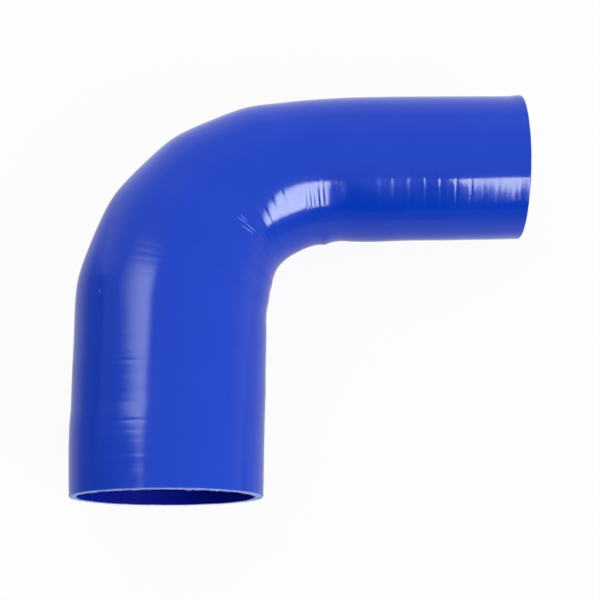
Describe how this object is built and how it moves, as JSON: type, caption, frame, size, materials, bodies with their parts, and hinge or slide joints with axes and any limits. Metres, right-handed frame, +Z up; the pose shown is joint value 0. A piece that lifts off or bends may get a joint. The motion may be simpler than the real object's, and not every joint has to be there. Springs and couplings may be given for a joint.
{
  "type": "silicone elbow hose",
  "caption": "Reducing right-angle elbow hose in blue fabric-reinforced silicone, open right through, joining a wide pipe to a narrower one.",
  "frame": {"origin": "centre of the bounding box's bottom face, on the surface that the hose lies on", "axes": "+Z up; the large leg's axis is level and runs along Y with its open end facing -Y; the small leg runs towards +X and dips to the surface"},
  "size_m": [0.1836, 0.1704, 0.078],
  "materials": {
    "blue_silicone": "glossy ply-wrapped silicone rubber, trimmed ends matt with the cut fabric plies showing"
  },
  "bodies": {
    "root": {"elbow_hose": "blue_silicone"}
  },
  "joints": []
}
